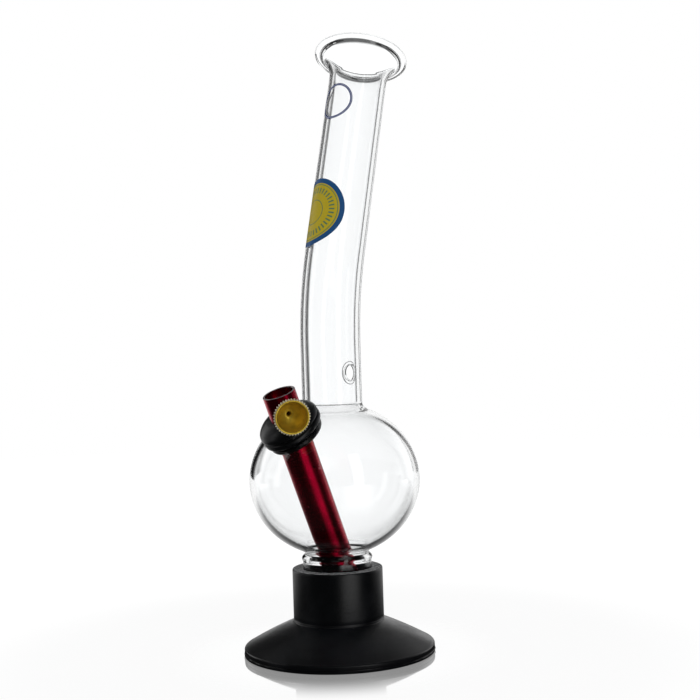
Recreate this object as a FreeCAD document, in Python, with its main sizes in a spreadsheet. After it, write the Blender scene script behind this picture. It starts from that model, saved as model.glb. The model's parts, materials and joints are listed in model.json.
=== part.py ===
"""Bent neck glass water pipe in a moulded rubber base, in millimetres.

The origin is the centre of the base's underside, with +Z up. The stem leans out of the bulb
towards -Y, and the neck leans back on the other side, close to +Y.
"""
import FreeCAD, Part
import os
from math import atan2, cos, degrees, pi, radians, sin, sqrt
import Sketcher
from FreeCAD import Vector

SIZES = (
    # Rubber base: a flared round foot with a cup on top.
    ("foot_radius", 55.5),       # outside of the round foot
    ("foot_edge", 4.5),          # upright rim of the foot
    ("skirt_top", 18.5),         # where the flared skirt meets the cup
    ("skirt_curve", 260.0),      # radius of the slight dome of the skirt
    ("cup_top", 49.0),           # rim of the cup
    ("cup_floor", 12.0),         # inside floor of the cup
    ("cup_wall", 6.25),          # rubber round the glass collar
    ("edge_round", 1.2),         # rounding of the rubber's outer edges
    # Glass: collar, bulb, neck and mouth.
    ("collar_radius", 20.0),     # outside of the collar that plugs into the cup
    ("collar_wall", 3.0),
    ("collar_show", 10.3),       # collar that shows between the cup and the bulb
    ("bulb_radius", 49.6),       # widest radius of the bulb
    ("bulb_half_height", 44.5),  # half of the bulb's height
    ("bulb_wall", 2.8),
    ("neck_radius", 17.5),
    ("neck_wall", 2.5),
    ("neck_foot", 36.4),         # upright run of the neck before its bend
    ("bend_radius", 175.0),      # centre line of the bend
    ("neck_lean", 18.0),         # lean of the upper neck, degrees
    ("neck_heading", 106.8),     # compass heading of the lean from +X, degrees
    ("neck_run", 113.0),         # straight run after the bend
    ("flare_radius", 16.0),      # outside curve of the trumpet mouth
    ("flare_angle", 60.0),       # turn of that curve, degrees
    ("lip_bead", 2.5),           # radius of the thick rolled lip
    ("lip_reach", 1.2),          # the bead's centre past the end of the flare
    ("thumb_radius", 4.5),       # air hole that the thumb closes
    ("thumb_rise", 19.9),        # height of that hole above the foot of the neck
    ("thumb_ring", 1.3),         # fire-polished ring round the hole
    # Grommet in the port on the bulb's shoulder.
    ("grommet_wall", 4.0),       # rubber between the stem and the glass
    ("flange_overlap", 4.7),     # outer flange beyond the port
    ("flange_edge", 3.5),        # thickness of the outer flange at its rim
    ("flange_tuck", 2.7),        # the sloping flange's reach over the foot of the neck
    ("grommet_height", 8.0),     # crown of the grommet above the glass
    ("crown_wall", 2.0),         # flat top of the crown beyond the stem
    ("crown_curve", 12.0),       # round of the crown down to the flange
    ("lower_overlap", 2.5),      # inner flange beyond the port
    ("lower_depth", 9.0),        # inner flange's underside below the outer face of the glass
    ("lower_step", 4.6),         # where the two flanges part, inside the glass wall
    # Stem tube with its blanking plug and socket bush.
    ("stem_radius", 9.5),
    ("stem_wall", 1.2),
    ("stem_above", 20.6),        # stem outside the port
    ("stem_cross", 4.9),         # its line crosses the collar's axis this far above the cup
    ("stem_side_gap", 1.5),      # lower end to the collar's bore
    ("plug_thickness", 1.5),
    ("plug_gap", 0.2),           # plug above the bush
    ("cone_drop", 9.9),          # cone's axis below the stem's top
    ("cone_heading", -32.0),     # turn of the cone about the stem, degrees
    ("cone_pitch", 3.0),         # cone's axis above square to the stem, degrees
    ("socket_wall", 1.05),
    ("socket_inside", 2.0),      # bush inside the stem's outer face
    ("socket_outside", 3.0),     # bush outside that face
    # Cone, a small brass bowl on a push-in shank.
    ("shank_radius", 2.5),
    ("shank_hole", 1.1),
    ("shank_short", 0.5),        # shank's end inside the end of the bush
    ("shoulder_radius", 4.2),
    ("cone_seat", 0.2),          # shoulder to bush
    ("bowl_length", 12.3),       # shoulder to rim
    ("bowl_depth", 10.5),
    ("bowl_curve", 10.5),        # inside curve of the bowl
    ("bowl_back", 14.0),         # outside curve of the bowl
    ("bowl_waist", 1.05),        # step from the bowl's back out to the rim band
    ("rim_radius", 10.25),
    ("rim_band", 2.2),           # height of the knurled band
    ("rim_width", 1.35),         # flat face of the rim
    # Film labels on the neck.
    ("label_radius", 21.2),
    ("label_along", 20.5),       # label's centre past the end of the bend
    ("label_turn", 149.8),       # round the neck from its leaning side, degrees
    ("ring_radius", 11.5),
    ("ring_width", 1.4),
    ("ring_along", 91.5),
    ("ring_turn", 168.4),
    ("film", 0.15),
    # Clearances.
    ("running_gap", 0.05),       # radial, between pieces that slide
    ("seat_gap", 0.3),           # collar's foot to the cup's floor
    ("film_gap", 0.03),          # label to glass
)


class Bound:
    """A number together with the sheet expression that gives it."""

    def __init__(self, value, text=None):
        self.value = float(value)
        self.text = text or repr(float(value))

    def __add__(self, other):
        other = bound(other)
        return Bound(self.value + other.value, f"({self.text} + {other.text})")

    def __sub__(self, other):
        other = bound(other)
        return Bound(self.value - other.value, f"({self.text} - {other.text})")

    def __mul__(self, other):
        other = bound(other)
        return Bound(self.value * other.value, f"({self.text} * {other.text})")

    def __truediv__(self, other):
        other = bound(other)
        return Bound(self.value / other.value, f"({self.text} / {other.text})")

    def __neg__(self):
        return Bound(-self.value, f"(0 - {self.text})")


def bound(number):
    """The number itself if it is already bound, or a constant."""
    return number if isinstance(number, Bound) else Bound(number)


def sine(angle):
    """Sine of an angle in degrees."""
    return Bound(sin(radians(angle.value)), f"sin({angle.text})")


def cosine(angle):
    """Cosine of an angle in degrees."""
    return Bound(cos(radians(angle.value)), f"cos({angle.text})")


def slope(rise, run):
    """Angle in degrees whose tangent is rise over run, both positive."""
    return Bound(degrees(atan2(rise.value, run.value)), f"(atan({rise.text} / {run.text}) / 1 deg)")


def leg(ratio):
    """The other leg of a unit triangle: sqrt(1 - ratio squared)."""
    return Bound(sqrt(1 - ratio.value ** 2), f"sqrt(1 - {ratio.text} ^ 2)")


doc = FreeCAD.newDocument("WaterPipe")
sheet = doc.addObject("Spreadsheet::Sheet", "Sizes")
size = {}
for row, (alias, number) in enumerate(SIZES, start=1):
    sheet.set(f"A{row}", alias)
    sheet.set(f"B{row}", str(number))
    sheet.setAlias(f"B{row}", alias)
    size[alias] = Bound(number, f"Sizes.{alias}")
doc.recompute()

ZERO = bound(0)

# Places that follow from the driving sizes.
cup_bore = size["collar_radius"] + size["running_gap"]
cup_radius = cup_bore + size["cup_wall"]
collar_bore = size["collar_radius"] - size["collar_wall"]
collar_foot = size["cup_floor"] + size["seat_gap"]
junction = size["cup_top"] + size["collar_show"]
bulb_centre = junction + size["bulb_half_height"] * leg(size["collar_radius"] / size["bulb_radius"])
neck_bore = size["neck_radius"] - size["neck_wall"]
weld = bulb_centre + size["bulb_half_height"] * leg(size["neck_radius"] / size["bulb_radius"])
bend_start = weld + size["neck_foot"]
bend_out = size["bend_radius"] * (bound(1) - cosine(size["neck_lean"]))
bend_top = bend_start + size["bend_radius"] * sine(size["neck_lean"])
neck_out = bend_out + size["neck_run"] * sine(size["neck_lean"])
neck_top = bend_top + size["neck_run"] * cosine(size["neck_lean"])
port_radius = size["stem_radius"] + size["grommet_wall"]
flange_radius = port_radius + size["flange_overlap"]
port_reach = size["neck_radius"] + flange_radius - size["flange_tuck"]
port_rise = size["bulb_half_height"] * leg(port_reach / size["bulb_radius"])
port_height = bulb_centre + port_rise
port_slope = slope(port_reach * size["bulb_half_height"] * size["bulb_half_height"],
                   port_rise * size["bulb_radius"] * size["bulb_radius"])
stem_tilt = slope(port_reach, port_height - size["cup_top"] - size["stem_cross"])
stem_bore = size["stem_radius"] - size["stem_wall"]
stem_below = (port_reach + collar_bore - size["stem_side_gap"]
              - size["stem_radius"] * cosine(stem_tilt)) / sine(stem_tilt)
stem_length = size["stem_above"] + stem_below
socket_bore = size["shank_radius"] + size["running_gap"]
socket_radius = socket_bore + size["socket_wall"]
socket_inner = size["stem_radius"] - size["socket_inside"]
socket_outer = size["stem_radius"] + size["socket_outside"]


def frame(x, y, z, axis=(0, 0, 1), turn=ZERO):
    """Text of a placement: moved to (x, y, z), turned about the axis."""
    place = "vector({}; {}; {})".format(*(bound(number).text for number in (x, y, z)))
    return f"placement({place}; rotation(vector({axis[0]}; {axis[1]}; {axis[2]}); {bound(turn).text}))"


X_AXIS, Y_AXIS, Z_AXIS = (1, 0, 0), (0, 1, 0), (0, 0, 1)
NECK_FRAME = frame(0, 0, 0, Z_AXIS, size["neck_heading"])
RUN_FRAME = NECK_FRAME + " * " + frame(bend_out, 0, bend_top, Y_AXIS, size["neck_lean"])
MOUTH_FRAME = NECK_FRAME + " * " + frame(neck_out, 0, neck_top, Y_AXIS, size["neck_lean"])
PORT_FRAME = frame(0, -port_reach, port_height, X_AXIS, port_slope)
STEM_FRAME = frame(0, -port_reach, port_height, X_AXIS, stem_tilt)
STEM_TOP_FRAME = STEM_FRAME + " * " + frame(0, 0, size["stem_above"])
CONE_FRAME = (STEM_TOP_FRAME + " * " + frame(0, 0, -size["cone_drop"], Z_AXIS, size["cone_heading"])
              + " * " + frame(0, 0, 0, Y_AXIS, bound(90) - size["cone_pitch"]))
THUMB_FRAME = frame(0, 0, weld + size["thumb_rise"], X_AXIS, -90)


def primitive(kind, name, place, **dimensions):
    """A Part primitive whose dimensions and placement are bound to the sheet."""
    solid = doc.addObject(f"Part::{kind}", name)
    for prop, number in dimensions.items():
        solid.setExpression(prop, bound(number).text)
    solid.setExpression("Placement", place)
    return solid


def cylinder(name, radius, start, end, place=frame(0, 0, 0)):
    """A cylinder along the frame's Z from start to end."""
    start, end = bound(start), bound(end)
    return primitive("Cylinder", name, place + " * " + frame(0, 0, start),
                     Radius=radius, Height=end - start)


def torus(name, ring, section, place):
    """A torus square to the frame's Z."""
    return primitive("Torus", name, place, Radius1=ring, Radius2=section)


def fuse(name, *shapes):
    """Union of several objects."""
    union = doc.addObject("Part::MultiFuse", name)
    union.Shapes = list(shapes)
    return union


def cut(name, base, tool):
    """The base without the tool."""
    difference = doc.addObject("Part::Cut", name)
    difference.Base = base
    difference.Tool = tool
    return difference


def new_body(name, place=frame(0, 0, 0)):
    """A PartDesign body whose placement is bound to the sheet."""
    body = doc.addObject("PartDesign::Body", name)
    body.setExpression("Placement", place)
    return body


def new_sketch(body, name, role, lift=None):
    """A sketch on one of the body's own origin planes, lifted off it if asked."""
    sketch = body.newObject("Sketcher::SketchObject", name)
    plane = [part for part in body.Origin.OriginFeatures if part.Role == role][0]
    sketch.AttachmentSupport = [(plane, "")]
    sketch.MapMode = "FlatFace"
    if lift is not None:
        sketch.setExpression("AttachmentOffset.Base.z", lift.text)
    return sketch


def arc_between(start, end, radius, side):
    """A sketch arc from start to end, with its centre on the left (1) or right (-1).

    Returns the arc, and which of its ends is the start and which the end.
    """
    chord = end - start
    middle = (start + end) * 0.5
    left = Vector(-chord.y, chord.x, 0).normalize()
    height = sqrt(max(radius ** 2 - (chord.Length / 2) ** 2, 0))
    centre = middle + left * (height * side)
    first, last = (start, end) if side > 0 else (end, start)
    angles = [atan2(point.y - centre.y, point.x - centre.x) for point in (first, last)]
    if angles[1] < angles[0]:
        angles[1] += 2 * pi
    curve = Part.ArcOfCircle(Part.Circle(centre, Vector(0, 0, 1), radius), *angles)
    return curve, ((1, 2) if side > 0 else (2, 1))


def hold_point(sketch, geometry, end, point, name):
    """Hold one end of a sketch curve at a bound place, from the origin."""
    for letter, axis, number in (("X", -2, point[0]), ("Y", -1, point[1])):
        if number.value == 0:
            sketch.addConstraint(Sketcher.Constraint("PointOnObject", geometry, end, axis))
            continue
        held = Sketcher.Constraint(f"Distance{letter}", -1, 1, geometry, end, number.value)
        sketch.renameConstraint(sketch.addConstraint(held), f"{name}_{letter}")
        sketch.setExpression(f"Constraints.{name}_{letter}", number.text)


def outline(body, name, corners, arcs=None):
    """A closed outline on the body's XZ plane.

    corners are (across, up) pairs; arcs gives, for the side that leaves a corner, its radius
    and the side that its centre lies on.
    """
    arcs = arcs or {}
    sketch = new_sketch(body, name, "XZ_Plane")
    points = [Vector(across.value, up.value, 0) for across, up in corners]
    ends = []
    for index, start in enumerate(points):
        end = points[(index + 1) % len(points)]
        if index in arcs:
            radius, side = arcs[index]
            curve, order = arc_between(start, end, radius.value, side)
        else:
            curve, order = Part.LineSegment(start, end), (1, 2)
        sketch.addGeometry(curve)
        ends.append(order)
    for index, corner in enumerate(corners):
        before = (index - 1) % len(corners)
        joined = Sketcher.Constraint("Coincident", before, ends[before][1], index, ends[index][0])
        sketch.addConstraint(joined)
        hold_point(sketch, index, ends[index][0], corner, f"corner{index}")
        if index in arcs:
            held = Sketcher.Constraint("Radius", index, arcs[index][0].value)
            sketch.renameConstraint(sketch.addConstraint(held), f"curve{index}")
            sketch.setExpression(f"Constraints.curve{index}", arcs[index][0].text)
    return sketch


def revolve(body, name, sketch):
    """A full turn of a sketch about its own vertical axis."""
    turned = body.newObject("PartDesign::Revolution", name)
    turned.Profile = sketch
    turned.ReferenceAxis = (sketch, ["V_Axis"])
    turned.Angle = 360.0
    doc.recompute()
    return turned


def round_edge(solid, radius, height):
    """Name of the solid's circular edge with this radius at this height."""
    for number, edge in enumerate(solid.Shape.Edges, start=1):
        curve = edge.Curve
        if isinstance(curve, Part.Circle) and abs(curve.Radius - radius.value) < 1e-4 \
                and abs(curve.Center.z - height.value) < 1e-4:
            return f"Edge{number}"
    raise ValueError(f"no edge of radius {radius.value} at height {height.value}")


def make_base():
    """Rubber base: flared foot and cup in one moulding."""
    body = new_body("base")
    corners = [(ZERO, ZERO), (size["foot_radius"], ZERO), (size["foot_radius"], size["foot_edge"]),
               (cup_radius, size["skirt_top"]), (cup_radius, size["cup_top"]),
               (cup_bore, size["cup_top"]), (cup_bore, size["cup_floor"]), (ZERO, size["cup_floor"])]
    sketch = outline(body, "BaseOutline", corners, {2: (size["skirt_curve"], 1)})
    moulding = revolve(body, "BaseMoulding", sketch)
    rounding = body.newObject("PartDesign::Fillet", "BaseRounding")
    edges = [round_edge(moulding, size["foot_radius"], size["foot_edge"]),
             round_edge(moulding, cup_radius, size["cup_top"]),
             round_edge(moulding, cup_bore, size["cup_top"])]
    rounding.Base = (moulding, edges)
    rounding.setExpression("Radius", size["edge_round"].text)
    return body


def make_bulb():
    """Glass bulb with the collar that plugs into the cup and the port for the grommet."""
    at_centre = frame(0, 0, bulb_centre)
    wall = size["bulb_wall"]
    outer = primitive("Ellipsoid", "BulbOutside", at_centre, Radius1=size["bulb_half_height"],
                      Radius2=size["bulb_radius"], Radius3=size["bulb_radius"])
    inner = primitive("Ellipsoid", "BulbInside", at_centre, Radius1=size["bulb_half_height"] - wall,
                      Radius2=size["bulb_radius"] - wall, Radius3=size["bulb_radius"] - wall)
    collar = cylinder("CollarOutside", size["collar_radius"], collar_foot, junction + wall)
    bore = cylinder("CollarBore", collar_bore, collar_foot - wall, junction + wall * 2)
    mouth = cylinder("NeckJoinBore", neck_bore, weld - wall * 4, weld + wall)
    trim = cylinder("NeckJoinTrim", size["neck_radius"] + wall * 2, weld, weld + wall * 4)
    port = cylinder("PortDrill", port_radius, -port_radius, port_radius, PORT_FRAME)
    return cut("GlassBulb", fuse("BulbBlank", outer, collar),
               fuse("BulbHollow", inner, bore, mouth, trim, port))


def make_neck():
    """Bent glass neck with its thumb hole."""
    body = new_body("NeckTube", NECK_FRAME)
    path = new_sketch(body, "NeckPath", "XZ_Plane")
    start, bend = Vector(0, weld.value, 0), Vector(0, bend_start.value, 0)
    turn = Vector(bend_out.value, bend_top.value, 0)
    end = Vector(neck_out.value, neck_top.value, 0)
    curve, (first, last) = arc_between(bend, turn, size["bend_radius"].value, -1)
    path.addGeometry([Part.LineSegment(start, bend), curve, Part.LineSegment(turn, end)])
    path.addConstraint(Sketcher.Constraint("Coincident", 0, 2, 1, first))
    path.addConstraint(Sketcher.Constraint("Coincident", 1, last, 2, 1))
    hold_point(path, 0, 1, (ZERO, weld), "foot")
    hold_point(path, 0, 2, (ZERO, bend_start), "bend")
    hold_point(path, 2, 1, (bend_out, bend_top), "turn")
    hold_point(path, 2, 2, (neck_out, neck_top), "end")
    held = Sketcher.Constraint("Radius", 1, size["bend_radius"].value)
    path.renameConstraint(path.addConstraint(held), "bend_radius")
    path.setExpression("Constraints.bend_radius", size["bend_radius"].text)
    section = new_sketch(body, "NeckSection", "XY_Plane", weld)
    for index, (name, radius) in enumerate((("outside", size["neck_radius"]), ("inside", neck_bore))):
        section.addGeometry(Part.Circle(Vector(0, 0, 0), Vector(0, 0, 1), radius.value))
        section.addConstraint(Sketcher.Constraint("Coincident", index, 3, -1, 1))
        held = Sketcher.Constraint("Radius", index, radius.value)
        section.renameConstraint(section.addConstraint(held), name)
        section.setExpression(f"Constraints.{name}", radius.text)
    doc.recompute()
    pipe = body.newObject("PartDesign::AdditivePipe", "NeckPipe")
    pipe.Profile = section
    pipe.Spine = (path, ["Edge1", "Edge2", "Edge3"])
    doc.recompute()
    ring_place = THUMB_FRAME + " * " + frame(0, 0, size["neck_radius"] - size["thumb_ring"] * 0.5)
    ring = torus("ThumbRing", size["thumb_radius"] + size["thumb_ring"], size["thumb_ring"], ring_place)
    drill = cylinder("ThumbDrill", size["thumb_radius"], neck_bore * 0.5,
                     size["neck_radius"] + size["thumb_ring"] * 2, THUMB_FRAME)
    return cut("GlassNeck", fuse("NeckBlank", body, ring), drill)


def make_lip():
    """Trumpet mouth with a thick rolled lip."""
    body = new_body("mouth_lip", MOUTH_FRAME)
    radius, angle = size["flare_radius"], size["flare_angle"]
    inner_radius = radius + size["neck_wall"]
    centre = size["neck_radius"] + radius
    outer_end = (centre - radius * cosine(angle), radius * sine(angle))
    inner_end = (centre - inner_radius * cosine(angle), inner_radius * sine(angle))
    corners = [(neck_bore, ZERO), (size["neck_radius"], ZERO), outer_end, inner_end]
    flare = outline(body, "FlareOutline", corners, {1: (radius, -1), 3: (inner_radius, 1)})
    revolve(body, "Flare", flare)
    middle = radius + size["neck_wall"] / 2
    bead_ring = centre - middle * cosine(angle) + size["lip_reach"] * sine(angle)
    bead_height = middle * sine(angle) + size["lip_reach"] * cosine(angle)
    bead = new_sketch(body, "BeadOutline", "XZ_Plane")
    bead.addGeometry(Part.Circle(Vector(bead_ring.value, bead_height.value, 0), Vector(0, 0, 1),
                                 size["lip_bead"].value))
    hold_point(bead, 0, 3, (bead_ring, bead_height), "bead")
    held = Sketcher.Constraint("Radius", 0, size["lip_bead"].value)
    bead.renameConstraint(bead.addConstraint(held), "bead_radius")
    bead.setExpression("Constraints.bead_radius", size["lip_bead"].text)
    revolve(body, "Bead", bead)
    return body


def make_grommet(bulb):
    """Rubber grommet: two flanges that grip the glass, bored along the stem's line."""
    below = size["lower_depth"]
    place = PORT_FRAME + " * " + frame(0, 0, -below)
    body = new_body("GrommetCore", place)
    lower_radius = port_radius + size["lower_overlap"]
    crown_radius = size["stem_radius"] + size["crown_wall"]
    step = below - size["lower_step"]
    flange_top = below + size["flange_edge"]
    crown_top = below + size["grommet_height"]
    corners = [(ZERO, ZERO), (lower_radius, ZERO), (lower_radius, step), (flange_radius, step),
               (flange_radius, flange_top), (crown_radius, crown_top), (ZERO, crown_top)]
    revolve(body, "GrommetTurned",
            outline(body, "GrommetOutline", corners, {4: (size["crown_curve"], 1)}))
    bore = cylinder("GrommetBore", size["stem_radius"] + size["running_gap"],
                    -port_radius * 2, port_radius * 2, STEM_FRAME)
    neck = cylinder("GrommetNeckSide", size["neck_radius"] + size["running_gap"],
                    weld - flange_radius, weld + flange_radius)
    return cut("Grommet", body, fuse("GrommetTools", bore, neck, bulb))


def make_stem():
    """Metal stem tube, its blanking plug and the bush for the cone."""
    outside = cylinder("StemOutside", size["stem_radius"], -stem_below, size["stem_above"], STEM_FRAME)
    bore = cylinder("StemBore", stem_bore, -stem_below - size["stem_wall"],
                    size["stem_above"] + size["stem_wall"], STEM_FRAME)
    drill = cylinder("SocketDrill", socket_radius, 0, socket_outer, CONE_FRAME)
    tube = cut("StemTube", outside, fuse("StemTools", bore, drill))
    plug_foot = (socket_radius + stem_bore * sine(size["cone_pitch"]) + size["plug_gap"]
                 - size["cone_drop"])
    plug = cylinder("StemPlug", stem_bore, plug_foot, plug_foot + size["plug_thickness"],
                    STEM_TOP_FRAME)
    bush = cylinder("SocketBlank", socket_radius, socket_inner, socket_outer, CONE_FRAME)
    hole = cylinder("SocketBore", socket_bore, 0, socket_outer * 2, CONE_FRAME)
    return tube, plug, cut("ConeSocket", bush, hole)


def make_cone():
    """Turned brass cone: shank, shoulder, bowl and rim band."""
    body = new_body("cone_bowl", CONE_FRAME)
    shank_end = socket_inner + size["shank_short"]
    seat = socket_outer + size["cone_seat"]
    rim = seat + size["bowl_length"]
    band = rim - size["rim_band"]
    hole = size["shank_hole"]
    corners = [(hole, shank_end), (size["shank_radius"], shank_end), (size["shank_radius"], seat),
               (size["shoulder_radius"], seat), (size["rim_radius"] - size["bowl_waist"], band),
               (size["rim_radius"], band), (size["rim_radius"], rim),
               (size["rim_radius"] - size["rim_width"], rim), (hole, rim - size["bowl_depth"])]
    arcs = {3: (size["bowl_back"], 1), 7: (size["bowl_curve"], -1)}
    revolve(body, "ConeTurned", outline(body, "ConeOutline", corners, arcs))
    return body


def wrapped_outline(radius, tube_radius):
    """Outline of a round film once it is wrapped on a tube, as it looks from the front.

    The tube's axis is Z and the film faces +X.
    """
    points = []
    count = 24
    for step in range(count):
        turn = 2 * pi * step / count
        round_tube = radius * cos(turn) / tube_radius
        points.append(Vector(0, tube_radius * sin(round_tube), radius * sin(turn)))
    curve = Part.BSplineCurve()
    curve.interpolate(points, PeriodicFlag=True)
    return Part.Face(Part.Wire(curve.toShape()))


def make_film(name, radius, hole, along, turn):
    """A thin round film, or a ring, wrapped on the straight run of the neck."""
    inside = size["neck_radius"].value + size["film_gap"].value
    outside = inside + size["film"].value
    shell = Part.makeCylinder(outside, 4 * radius, Vector(0, 0, -2 * radius))
    shell = shell.cut(Part.makeCylinder(inside, 4 * radius, Vector(0, 0, -2 * radius)))
    outward = Vector(2 * outside, 0, 0)
    shape = shell.common(wrapped_outline(radius, outside).extrude(outward))
    if hole > 0:
        shape = shape.cut(wrapped_outline(hole, outside).extrude(outward))
    film = doc.addObject("Part::Feature", name)
    film.Shape = shape.Solids[0]
    film.setExpression("Placement", RUN_FRAME + " * " + frame(0, 0, along, Z_AXIS, turn))
    return film


def make_labels():
    """Round label and the plain ring above it."""
    label = make_film("RoundLabel", size["label_radius"].value, 0, size["label_along"], size["label_turn"])
    ring_hole = size["ring_radius"].value - size["ring_width"].value
    ring = make_film("RingDecal", size["ring_radius"].value, ring_hole,
                     size["ring_along"], size["ring_turn"])
    return label, ring


def check(nodes):
    """Stop if an object failed, or a sub-part is empty, invalid or in pieces."""
    for item in doc.Objects:
        if "Invalid" in item.State or "Error" in item.State:
            raise RuntimeError(f"{item.Name} failed: {item.State}")
    for name, item in nodes.items():
        if item.Shape.isNull() or not item.Shape.isValid():
            raise RuntimeError(f"{name} has no valid shape")
        if len(item.Shape.Solids) != 1:
            raise RuntimeError(f"{name} is {len(item.Shape.Solids)} solids")


def export(nodes):
    """Write each sub-part to parts/NODE.step and print its size."""
    os.makedirs("parts", exist_ok=True)
    for name, item in nodes.items():
        item.Shape.exportStep(f"parts/{name}.step")
        box = item.Shape.BoundBox
        print(f"{name:12s} {item.Shape.Volume:10.1f} mm3  x {box.XMin:.1f}..{box.XMax:.1f}"
              f"  y {box.YMin:.1f}..{box.YMax:.1f}  z {box.ZMin:.1f}..{box.ZMax:.1f}")


bulb = make_bulb()
stem_tube, stem_plug, cone_socket = make_stem()
round_label, ring_decal = make_labels()
nodes = {
    "base": make_base(),
    "glass_bulb": bulb,
    "glass_neck": make_neck(),
    "mouth_lip": make_lip(),
    "grommet": make_grommet(bulb),
    "stem_tube": stem_tube,
    "stem_plug": stem_plug,
    "cone_socket": cone_socket,
    "cone_bowl": make_cone(),
    "round_label": round_label,
    "ring_decal": ring_decal,
}
for label, part in nodes.items():
    part.Label = label
doc.recompute()
check(nodes)
export(nodes)
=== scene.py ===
"""Looks of a bent neck glass water pipe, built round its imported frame. Lengths are in metres."""
import json
import logging
import math
from dataclasses import dataclass, field
from enum import Enum

import bmesh
import bpy
from mathutils import Matrix, Quaternion, Vector


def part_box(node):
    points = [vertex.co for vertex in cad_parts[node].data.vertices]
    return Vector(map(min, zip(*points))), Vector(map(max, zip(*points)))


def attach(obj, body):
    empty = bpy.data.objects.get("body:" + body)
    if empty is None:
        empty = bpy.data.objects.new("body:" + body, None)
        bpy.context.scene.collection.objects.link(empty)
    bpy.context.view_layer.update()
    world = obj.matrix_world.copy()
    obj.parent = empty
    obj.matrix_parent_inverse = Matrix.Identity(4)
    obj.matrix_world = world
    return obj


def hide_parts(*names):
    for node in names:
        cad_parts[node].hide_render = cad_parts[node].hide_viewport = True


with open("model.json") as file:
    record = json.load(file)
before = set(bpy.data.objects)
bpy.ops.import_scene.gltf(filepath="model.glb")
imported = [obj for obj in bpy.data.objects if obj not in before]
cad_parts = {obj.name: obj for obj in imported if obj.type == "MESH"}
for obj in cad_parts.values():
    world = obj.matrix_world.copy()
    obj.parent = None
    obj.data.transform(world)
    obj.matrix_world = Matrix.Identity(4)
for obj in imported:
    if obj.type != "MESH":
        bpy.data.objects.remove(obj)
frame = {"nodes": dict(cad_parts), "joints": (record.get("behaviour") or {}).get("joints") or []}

MM = 0.001
CREASE = 35.0
KNURL_CREASE = 50.0
POLE = 1e-7
WHITE = (1.0, 1.0, 1.0, 1.0)
UP = Vector((0.0, 0.0, 1.0))
Pair = tuple[float, float]
Colour = tuple[float, float, float]
ZERO: Pair = (0.0, 0.0)
log = logging.getLogger("water_pipe")


class Body(Enum):
    """The bodies of the frame that pieces ride on."""

    STAND = "stand"
    VESSEL = "vessel"
    STEM = "stem"
    CONE = "cone"


# ---------------------------------------------------------------- outlines

def arc(centre: Pair, radius: float, start: float, end: float, steps: int) -> list[Pair]:
    """Points on a circular arc of an outline.

    Args:
        centre: The arc's centre, as (radius, height).
        radius: The arc's radius.
        start: First angle in degrees, 0 pointing outwards and 90 upwards.
        end: Last angle in degrees.
        steps: Number of spans.

    Returns:
        The points, both ends among them.
    """
    return oval(centre, radius, radius, start, end, steps)


def oval(centre: Pair, wide: float, tall: float, start: float, end: float, steps: int) -> list[Pair]:
    """Points on an arc of an ellipse.

    Args:
        centre: The ellipse's centre, as (radius, height).
        wide: Half width.
        tall: Half height.
        start: First angle in degrees.
        end: Last angle in degrees.
        steps: Number of spans.

    Returns:
        The points, both ends among them.
    """
    angles = [math.radians(start + (end - start) * step / steps) for step in range(steps + 1)]
    return [(centre[0] + wide * math.cos(a), centre[1] + tall * math.sin(a)) for a in angles]


def marks(datum: Pair, *offsets: Pair) -> list[Pair]:
    """Points given in millimetres from a datum."""
    return [(datum[0] + across * MM, datum[1] + up * MM) for across, up in offsets]


def run(start: Pair, end: Pair, steps: int) -> list[Pair]:
    """Evenly spaced points on a straight stretch, both ends among them."""
    return [(start[0] + (end[0] - start[0]) * step / steps,
             start[1] + (end[1] - start[1]) * step / steps) for step in range(steps + 1)]


def corner(start: Pair, tip: Pair, end: Pair, steps: int) -> list[Pair]:
    """A rounded corner that leaves start towards tip and arrives at end from tip.

    Args:
        start: First point.
        tip: The sharp corner that is rounded off.
        end: Last point.
        steps: Number of spans.

    Returns:
        The points, both ends among them.
    """
    points = []
    for step in range(steps + 1):
        t = step / steps
        weights = ((1 - t) ** 2, 2 * t * (1 - t), t * t)
        points.append(tuple(sum(w * p[axis] for w, p in zip(weights, (start, tip, end)))
                            for axis in (0, 1)))
    return points


def smooth(points: list[Pair], steps: int) -> list[Pair]:
    """A smooth line through a few shape points.

    Args:
        points: The shape points.
        steps: Spans between two of them.

    Returns:
        The sampled line, both ends among them.
    """
    line = []
    padded = [points[0], *points, points[-1]]
    for before, start, end, after in zip(padded, padded[1:], padded[2:], padded[3:]):
        for step in range(steps):
            t = step / steps
            weights = (-0.5 * t + t * t - 0.5 * t ** 3, 1 - 2.5 * t * t + 1.5 * t ** 3,
                       0.5 * t + 2 * t * t - 1.5 * t ** 3, -0.5 * t * t + 0.5 * t ** 3)
            line.append(tuple(sum(w * p[axis] for w, p in zip(weights, (before, start, end, after)))
                              for axis in (0, 1)))
    return [*line, points[-1]]


def joined(*stretches: list[Pair]) -> list[Pair]:
    """One outline from several stretches, without points that repeat."""
    outline: list[Pair] = []
    for stretch in stretches:
        for point in stretch:
            if not outline or math.dist(point, outline[-1]) > 1e-6:
                outline.append(point)
    if math.dist(outline[0], outline[-1]) < 1e-6:
        outline.pop()
    return outline


# ---------------------------------------------------------------- meshes

def turned_frame(origin: Vector, axis: Vector, side: Vector | None = None) -> Matrix:
    """A matrix whose Z lies along an axis.

    Args:
        origin: Where the matrix puts its zero.
        axis: Direction of its Z.
        side: A direction that its X points towards, if that matters.

    Returns:
        The matrix.
    """
    z = axis.normalized()
    spare = Vector((1, 0, 0)) if abs(z.x) < 0.9 else Vector((0, 1, 0))
    lead = spare if side is None else side
    x = (lead - z * lead.dot(z)).normalized()
    turn = Matrix((x, z.cross(x), z)).transposed().to_4x4()
    return Matrix.Translation(origin) @ turn


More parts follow.
